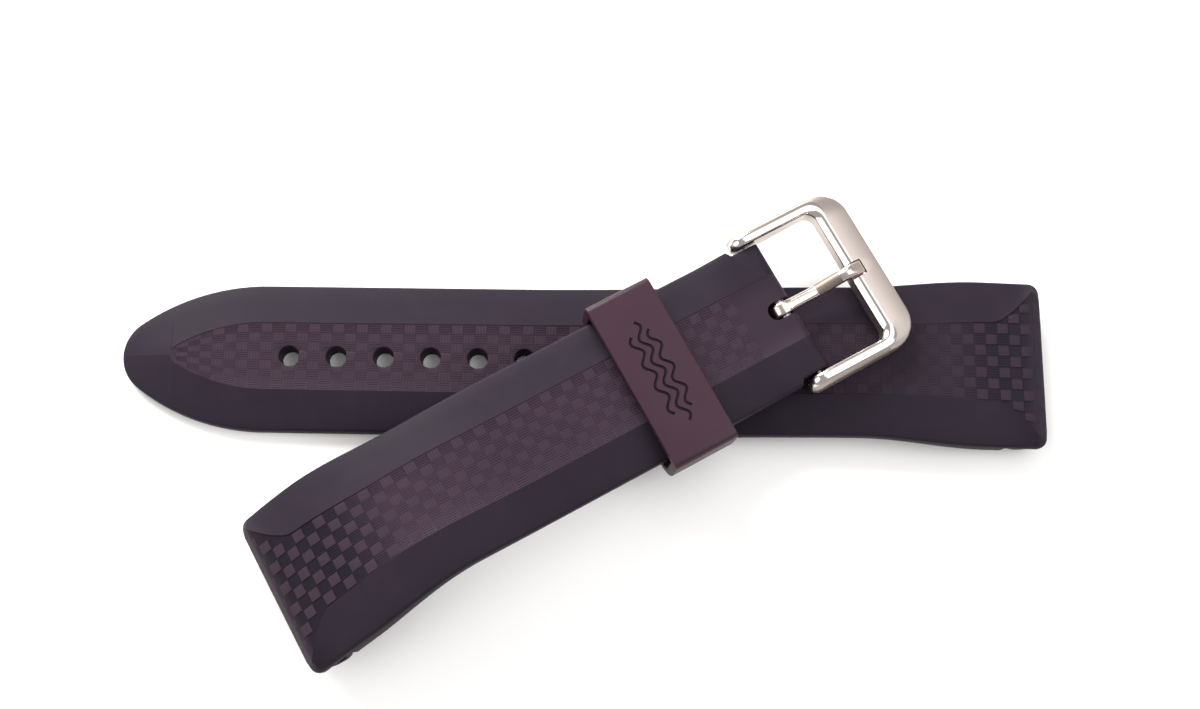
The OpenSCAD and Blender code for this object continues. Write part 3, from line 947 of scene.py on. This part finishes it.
def relief(name, strap, first_edge, shift, e_end, holes):
    # All ridges and squares of one strap, clipped to its band and kept off its holes
    along, across, squares = [], [], []
    steps = [k - (RIDGES - 1) / 2 for k in range(RIDGES)]
    for e, y, odd in fields(first_edge, e_end):
        s = strap.to_s(e)
        if odd != shift:
            squares.append((s, y))
        if e < WEAVE_FROM * strap.check_len:
            continue
        if odd != shift and e > strap.check_len:
            across += [(s + k * FIELD_LEN / RIDGES, y) for k in steps]
        elif odd == shift:
            along += [(s, y + k * FIELD_W / RIDGES) for k in steps]
    made = []
    for shape, places, is_ridge in ((along_ridge, along, True), (cross_ridge, across, True),
                                    (square_pad, squares, False)):
        made.append(stamp(name, shape, [place for place in places if fits(*place, strap, holes)]))
        stand_up(made[-1], is_ridge, strap, holes)
    pick_only(made[0])
    for piece in made[1:]:
        piece.select_set(True)
    bpy.ops.object.join()
    show_size(made[0])
    return made[0]


# Each weave's first edge, which of its fields are squares, and where it stops
long_relief = relief("long_weave", LONG, end_border + 0.25, False,
                     long_reach + bore_inset - band_start - 0.4, hole_places)
short_relief = relief("short_weave", SHORT, end_border + 0.5, True, short_reach + bore_inset - 6.5, [])


# %% [markdown]
# ## Laying the straps down
# Now the straight straps are bent. The long one stands on the barrel of its lug end, arches a
# millimetre and comes down to lie flat. The short one is moulded with a curve, so it stands on
# its lug end too, and its buckle end lies over the long strap. A Curve modifier could bend
# them, but the solids follow exact formulas, and the same formulas keep both in step.


# %% The two paths and the place of the short strap
def long_z(s):
    if s < arch_peak:
        return bore_drop + arch_rise * (1 - ((arch_peak - s) / arch_peak) ** 2)
    return mix(bore_drop + arch_rise, TABLE_Z, ease((s - arch_peak) / arch_fall))


def lay_long(s, y, h):
    near = 0.1
    slope = math.atan2(long_z(s + near) - long_z(s - near), 2 * near)
    return -s + h * math.sin(slope), y, long_z(s) + h * math.cos(slope)


def lay_short(s, y, h):
    # Straight, then bent to the moulded curve, and rolled a little because it lies loose
    turn, roll = max(0, s - straight_len) / curve_r, lug_roll * ease((s - roll_from) / roll_len)
    x = -min(s, straight_len) - (curve_r + h) * math.sin(turn)
    z = -bar_h - curve_r * (1 - math.cos(turn)) + h * math.cos(turn)
    return x, y * math.cos(roll) + z * math.sin(roll), z * math.cos(roll) - y * math.sin(roll)


lay_x, lay_y, lay_angle, lay_gap = -34.3, 6.2, math.radians(29.4), 0.3
eyelet_r, frame_half = 2.2, 12.4
under_chamfer, lay_touch = 0.45, 0.05
bar_z = long_z(-lay_x - frame_half * math.sin(lay_angle)) + strap_t + lay_gap + eyelet_r
lug_turn = (short_reach - straight_len) / curve_r
lug_back = straight_len + (curve_r - bore_drop) * math.sin(lug_turn)
lug_down = bar_h + curve_r * (1 - math.cos(lug_turn)) + bore_drop * math.cos(lug_turn)
lug_fall, barrel_end = lug_down * math.cos(lug_roll), lug_w / 2 - under_chamfer
bore_z = TABLE_Z + lay_touch + barrel_r * math.cos(lug_roll) + barrel_end * math.sin(lug_roll)
lay_tilt = math.atan2(lug_fall, lug_back) + math.asin((bore_z - bar_z) / math.hypot(lug_back, lug_fall))
short_place = (Matrix.Translation((lay_x, lay_y, bar_z)) @ Matrix.Rotation(lay_angle, 4, "Z")
               @ Matrix.Rotation(lay_tilt, 4, "Y"))
print(f"the buckle's bar lies {bar_z:.2f} mm up")
print(f"the short strap tilts {math.degrees(lay_tilt):.2f} degrees")


def lay(piece, path):
    write_points(piece, [path(*point) for point in read_points(piece)])


# %% Bend both, and give them their barrels
BARREL_RIM, PAST_ENDS, BAR_BORE_R = 0.3, 2, 0.85


def cross_bar(name, radius, length, place=(0, 0, 0), rim=0.0):
    # A round bar across the strap, with its rims bevelled where asked
    bar = add_solid(name, bpy.ops.mesh.primitive_cylinder_add, vertices=48, radius=radius,
                    depth=length, location=place, rotation=(math.pi / 2, 0, 0))
    if rim:
        soften(bar, rim, 3, 60)
    return bar


for body, relief_piece, path, barrel_place, roll in (
        (long_body, long_relief, lay_long, (0, 0, 0), 0),
        (short_body, short_relief, lay_short, (-lug_back, 0, -lug_down), lug_roll)):
    lay(body, path)
    lay(relief_piece, path)
    close_and_turn_out(body)
    close_and_turn_out(relief_piece)
    barrel = cross_bar("barrel", barrel_r, 2 * barrel_end, barrel_place, BARREL_RIM)
    bore = cross_bar("bore", lug_bore_r, lug_w + PAST_ENDS, barrel_place)
    for bar in (barrel, bore):
        bar.data.transform(Matrix.Rotation(-roll, 4, "X"))
    weld_on(body, barrel)
    cut_away(body, bore)
cut_away(short_body, cross_bar("bar_bore", BAR_BORE_R, tongue_w + PAST_ENDS))


# %% Colour, join and shrink to metres
def dress(piece, materials):
    # A piece of several materials gets them before its cuts, which then keep each face's own
    for material in materials:
        piece.data.materials.append(material)


def settle(piece, place, angle=35):
    # Shading set, and the finished mesh put in place in metres
    pick_only(piece)
    bpy.ops.object.shade_smooth_by_angle(angle=math.radians(angle))
    piece.data.transform(Matrix.Scale(MM, 4) @ place)
    piece.data.update()
    show_size(piece)


def finish_strap(body, relief_piece, place):
    pick_only(body)
    relief_piece.select_set(True)
    bpy.ops.object.join()
    # One material for all faces, whatever slots the cuts have left
    body.data.materials.clear()
    dress(body, [strap_rubber])
    settle(body, place)


finish_strap(long_body, long_relief, Matrix.Identity(4))
finish_strap(short_body, short_relief, short_place)

# %% Tell the frame what they are
for body, node, carrier in ((long_body, "long_strap", "long_piece"),
                            (short_body, "short_strap", "short_piece")):
    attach(body, carrier)
    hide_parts(node)

# %% [markdown]
# ## The keeper
# The keeper is a rubber loop that slides along the strap and holds its tail. It has a flat top,
# small round corners above and larger ones below. A cube gets its four long edges bevelled, an
# inner block is taken out of it, and all edges that are still sharp are softened.

# %% Keeper loop
keeper_len, keeper_wall, keeper_place = 9.7, 1.3, 20.2
keeper_side_gap, keeper_top_gap, keeper_play = 0.5, 0.2, 1.5
keeper_w = body_w + 2 * (keeper_side_gap + keeper_wall)
keeper_offset, keeper_corner_r, keeper_low_corner_r = 0.3, 0.9, 3
room_corner_r, room_low_corner_r, keeper_soft = 0.15, 1.7, 0.4
keeper_room = strap_t + edge_t + keeper_top_gap
keeper_h = keeper_room + 2 * keeper_wall
band_y = -(body_w / 2 - flank_w)
keeper_near = keeper_place - keeper_len / 2 - keeper_play
keeper_y = (band_y - lay_y + keeper_near * math.sin(lay_angle)) / math.cos(lay_angle)
keeper_spot = short_place @ Vector((-keeper_near, keeper_y, 0))
keeper_low = long_z(-keeper_spot.x) + strap_t + lay_gap - keeper_spot.z
keeper_mid = keeper_low + keeper_h / 2


def soft_block(name, size, place, top_corner, low_corner):
    # A block along X whose four long edges are rounded, the lower pair by its own radius
    block = add_block(name, size, place)

    def long_edge(a, b, side):
        at_side = abs(abs(a.y - place[1]) - size[1] / 2) < 0.01
        return at_side and side * (a.z - place[2]) > size[2] / 2 - 0.01 and abs(a.x - b.x) > 1

    bevel_edges(block, lambda a, b: long_edge(a, b, 1), top_corner, 8)
    bevel_edges(block, lambda a, b: long_edge(a, b, -1), low_corner, 8)
    return block


keeper_centre = (-keeper_place, -keeper_offset, keeper_mid)
keeper = soft_block("keeper_loop_rubber", (keeper_len, keeper_w, keeper_h), keeper_centre,
                    keeper_corner_r, keeper_low_corner_r)
dress(keeper, [keeper_rubber, groove_shade_rubber])
room = soft_block("room", (keeper_len + PAST_ENDS, keeper_w - 2 * keeper_wall, keeper_room),
                  keeper_centre, room_corner_r, room_low_corner_r)
cut_away(keeper, room)
soften(keeper, keeper_soft, 4, 50)
show_size(keeper)

# %% [markdown]
# ### A line pattern in its top
# The keeper carries a simple engraved ornament: three waves side by side, half a millimetre high,
# the middle one longer than the others. Each is a curve with a round section, sunk halfway into
# the top and subtracted, which leaves a clean round-bottomed groove.

# %% Waves
WAVE_LEN, WAVE_HEIGHT, WAVE_STEPS = 3.4, 0.55, 80
GROOVE_R, GROOVE_LIFT = 0.2, 0.02
# Place of each wave along the strap, and how far it reaches to either side
WAVES = [(-1.35, 5.95), (0, 7.65), (1.35, 5.95)]
top_z = keeper_low + keeper_h


def wave_cutter(x, reach):
    data = bpy.data.curves.new("wave", "CURVE")
    data.dimensions = "3D"
    data.bevel_depth = GROOVE_R
    data.bevel_resolution = 3
    data.use_fill_caps = True
    line = data.splines.new("POLY")
    line.points.add(WAVE_STEPS)
    for i in range(WAVE_STEPS + 1):
        y = mix(-reach, reach, i / WAVE_STEPS)
        wave = WAVE_HEIGHT * math.cos(2 * math.pi * y / WAVE_LEN)
        line.points[i].co = (x + wave, y - keeper_offset, top_z + GROOVE_LIFT, 1)
    cutter = bpy.data.objects.new("wave", data)
    bpy.context.scene.collection.objects.link(cutter)
    pick_only(cutter)
    bpy.ops.object.convert(target="MESH")
    close_and_turn_out(cutter)
    # With the keeper's own slots, so the groove's faces arrive with their rubber of painted shade
    dress(cutter, [keeper_rubber, groove_shade_rubber])
    for face in cutter.data.polygons:
        face.material_index = 1
    return cutter


for x, reach in WAVES:
    cut_away(keeper, wave_cutter(-keeper_place + x, reach))
settle(keeper, short_place)
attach(keeper, "keeper_loop")
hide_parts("keeper")

# %% [markdown]
# ## The buckle frame
# The frame is forged and then ground: its arms are rounded on the inside and slope down outside,
# and they run round the corners into a wide crossbar with a narrow polished bevel. So one
# cross-section is led round the U from one arm tip to the other, and it changes from the arm's
# section to the crossbar's on the way. A bevel modifier couldn't vary along the edge like that.

# %% Plan of the U
tongue_play = 0.25
arm_in = tongue_w / 2 + tongue_play
window_len, crossbar_w = 10.6, 4.7
frame_len = window_len + crossbar_w
crossbar_low, crossbar_t, crossbar_fall = -0.7, 2.8, 0.6
crossbar_top = crossbar_low + crossbar_t
corner_r, window_r = 4.2, 1.4
# Angles at which a ring stands on the round of the arm's tip, and rings round the corner
TIP_ANGLES = (4, 12, 20, 30, 40, 52, 64, 76)
CORNER_STEPS = 16


def along_corner(distance, start, straight, radius):
    # A point on a path that runs straight along X, turns a quarter circle and goes back along Y
    if distance < straight:
        return start[0] + distance, start[1]
    turn = min(math.pi / 2, (distance - straight) / radius)
    rest = max(0, distance - straight - radius * math.pi / 2)
    x = start[0] + straight + radius * math.sin(turn)
    return x, start[1] - radius * (1 - math.cos(turn)) - rest


def frame_plan():
    # Inner and outer points from the tip of the left arm to the middle, with how far they are
    # into the crossbar
    bend = window_len - window_r
    arm = [-eyelet_r * cosine(a) for a in TIP_ANGLES] + spread(0, bend, 1.6)
    plan = [((x, arm_in), (x, frame_half), 0) for x in arm]
    outer_straight = (frame_len - corner_r) - bend
    inner_len = window_r * math.pi / 2 + (corner_r - window_r) - (frame_half - arm_in)
    outer_len = outer_straight + corner_r * math.pi / 2
    for k in range(1, CORNER_STEPS + 1):
        inner = along_corner(inner_len * k / CORNER_STEPS, (bend, arm_in), 0, window_r)
        outer = along_corner(outer_len * k / CORNER_STEPS, (bend, frame_half), outer_straight, corner_r)
        plan.append((inner, outer, ease(k / CORNER_STEPS)))
    middle = spread(frame_half - corner_r, 0, 2.5)[1:]
    return plan + [((window_len, y), (frame_len, y), 1) for y in middle]


# %% Section of the frame
def frame_heights(x):
    if x < 0:
        swell = math.sqrt(max(0, eyelet_r ** 2 - x * x))
        return -swell, swell
    low = mix(-eyelet_r, crossbar_low, x / frame_len)
    if x < window_len:
        return low, mix(eyelet_r, crossbar_top, x / window_len)
    return low, mix(crossbar_top, crossbar_top - crossbar_fall, (x - window_len) / crossbar_w)


# Each column's distance from the inner edge and its depth under the top, or height over the
# underside: first on the arm, then on the crossbar
FRAME_SECTION = [
    ("low", 0.45, 0, 0.45, 0), ("low", 0.12, 0.12, 0.12, 0.12), ("low", 0, 0.45, 0, 0.45),
    ("top", 0, 0.9, 0, 1.0), ("top", 0.04, 0.6, 0.05, 0.84), ("top", 0.15, 0.3, 0.16, 0.7),
    ("top", 0.35, 0.1, 0.4, 0.5), ("top", 0.6, 0.02, 0.68, 0.27), ("top", 0.95, 0, 0.96, 0.05),
    ("top", 1.3, 0.06, 1.2, 0), ("top", 1.6, 0.28, 1.32, 0), ("top", 2.0, 0.9, 4.3, 0),
    ("top", 2.11, 1.15, 4.55, 0.08), ("top", 2.15, 1.45, 4.7, 0.32), ("low", 2.15, 0.5, 4.7, 0.5),
    ("low", 2.02, 0.14, 4.57, 0.14), ("low", 1.7, 0, 4.25, 0)]
ARM_W, FULL_HEIGHT = 2.15, 2.6
# The arm's tip is rounded from above too, from this X on and over this length
ROUND_FROM, ROUND_LEN, ROUND_SHARE = -1, 1.2, 0.22
POLISHED_COLUMNS = range(3, 10)


def frame_ring(inner, outer, into_bar):
    points = []
    thick = frame_heights(mix(inner[0], outer[0], 0.3))
    scale = min(1, (thick[1] - thick[0]) / FULL_HEIGHT)
    for side, arm_in_by, arm_d, bar_in_by, bar_d in FRAME_SECTION:
        across = mix(arm_in_by / ARM_W, bar_in_by / crossbar_w, into_bar)
        if inner[0] < ROUND_FROM:
            narrow = ROUND_SHARE * ((ROUND_FROM - inner[0]) / ROUND_LEN) ** 2
            across = mix(narrow, 1 - narrow, across)
        x, y = mix(inner[0], outer[0], across), mix(inner[1], outer[1], across)
        low, top = frame_heights(x)
        shift = mix(arm_d, bar_d, into_bar) * scale
        points.append((x, y, top - shift if side == "top" else low + shift))
    return points


def mirrored(points):
    return [(x, -y, z) for x, y, z in points]


half_rings = [frame_ring(*station) for station in frame_plan()]
frame_rings = half_rings + [mirrored(points) for points in reversed(half_rings[:-1])]
into_bar = [station[2] for station in frame_plan()]
into_bar += into_bar[-2::-1]


def frame_finish(row, column):
    # Brushed on top, polished on the inner bevel and the arms' tops, satin with painted shade on the
    # sides, which begin higher on the arms than on the crossbar
    if column in POLISHED_COLUMNS:
        return 1
    first_side = 10 if into_bar[row] < 0.05 else 12
    return 2 if first_side <= column < 15 else 0


buckle = wrap_grid("buckle_frame_steel", frame_rings, frame_finish)
dress(buckle, [frame_brushed, frame_polished, shaded_frame_side])
show_size(buckle)

# %% [markdown]
# ### Notch and bores
# The tang's tip rests in a notch milled into the crossbar, and the spring bar's pins sit in a
# blind bore in each arm.

# %% Cut them
tang_reach, tang_notch_d, pin_r, pin_end = 2.1, 0.8, 0.4, 11.45
pin_play, pin_end_gap, tip_gap = 0.05, 0.1, 0.25
notch_floor = crossbar_top - tang_notch_d
tip_notch_w, notch_end = 2.3, window_len + tang_reach + tip_gap
notch = add_block("notch", (5, tip_notch_w, 2), (notch_end - 2.5, 0, notch_floor + 1))
soften(notch, 0.25, 3, 60)
cut_away(buckle, notch)
cut_away(buckle, cross_bar("pin_bore", pin_r + pin_play, 2 * (pin_end + pin_end_gap)))
soften(buckle, 0.05, 1, 60)
settle(buckle, short_place, 30)
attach(buckle, "buckle")
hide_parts("buckle_frame")

# %% [markdown]
# ## The tang
# The tang is pressed from round-topped wire and bent: a loop round the spring bar, a bright level
# root, a duller bend up to a bright ridge and a flat tip in the notch. The bend's darker colour is
# painted shade. Its blade is drawn through sections that lean with it, and its loop is a turned
# ring welded to the blade.

# %% Blade
TANG_HALF, TANG_LOW_ROUND = 0.88, 0.12
# Upper and lower middle of each section, and the share of its height that is its crown
TANG_STATIONS = [
    ((0.1, 1.75), (0.1, 0.9), 0.8), ((1.4, 1.75), (1.4, 0.75), 0.8), ((3.2, 1.75), (3.2, 0.65), 0.8),
    ((4.7, 1.75), (4.9, 0.65), 0.8), ((5.2, 1.78), (5.5, 0.66), 0.72), ((5.7, 1.87), (6.1, 0.74), 0.6),
    ((6.4, 2.05), (6.8, 0.95), 0.5), ((7.7, 2.5), (8.1, 1.34), 0.5), ((8.8, 2.93), (9.3, 1.66), 0.5),
    ((9.4, 3.15), (9.9, 1.82), 0.55), ((9.8, 3.26), (10.2, 1.86), 0.6), ((10.15, 3.3), (10.4, 1.8), 0.6),
    ((10.5, 3.26), (10.6, 1.6), 0.5), ((10.9, 3.12), (10.85, 1.42), 0.3),
    ((11.5, 2.86), (11.5, 1.42), 0.22), ((12.35, 2.5), (12.35, 1.42), 0.22),
    ((12.52, 2.4), (12.55, 1.48), 0.22), ((12.6, 2.26), (12.6, 1.6), 0.22)]


def tang_ring(upper, lower, crown):
    # Lower side flat with small rounds, upper side a crown whose sides fall away
    upper, lower = Vector((upper[0], 0, upper[1])), Vector((lower[0], 0, lower[1]))
    up = upper - lower
    outline = [(TANG_HALF - TANG_LOW_ROUND, 0), (TANG_HALF - 0.035, 0.035 / up.length),
               (TANG_HALF, TANG_LOW_ROUND / up.length)]
    for angle in (0, 15, 30, 45, 60, 75):
        outline.append((TANG_HALF * cosine(angle), 1 - crown * (1 - sine(angle))))
    right = [lower + up * rise + Vector((0, side, 0)) for side, rise in outline]
    points = [lower, *right, upper, *[Vector((p.x, -p.y, p.z)) for p in reversed(right)]]
    return [tuple(p) for p in points]


def tang_finish(row, column):
    # Polished root, brushed bend with painted shade, polished ridge, brushed tip
    if row < 4 or 8 <= row <= 12:
        return 0
    return 1 if row < 8 else 2


tang = wrap_grid("tang_steel", [tang_ring(*station) for station in TANG_STATIONS], tang_finish)
dress(tang, [tang_polished, shaded_tang_bend, frame_brushed])
weld_on(tang, cross_bar("loop", tang_loop_r, tang_w, rim=0.35))
cut_away(tang, cross_bar("loop_bore", BAR_BORE_R, tang_w + PAST_ENDS))
settle(tang, short_place, 40)
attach(tang, "tang_arm")
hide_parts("tang")

# %% [markdown]
# ## The spring bar
# The tube, its two plungers and the spring are finished solids already, and next to nothing of
# them shows. They keep their meshes and only get their steel.

# %% Steel for the solids that stay
for node, material in (("spring_bar_tube", bar_steel), ("spring_bar_plunger_left", bar_steel),
                       ("spring_bar_plunger_right", bar_steel), ("spring_bar_spring", spring_steel)):
    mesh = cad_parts[node].data
    mesh.materials.clear()
    mesh.materials.append(material)
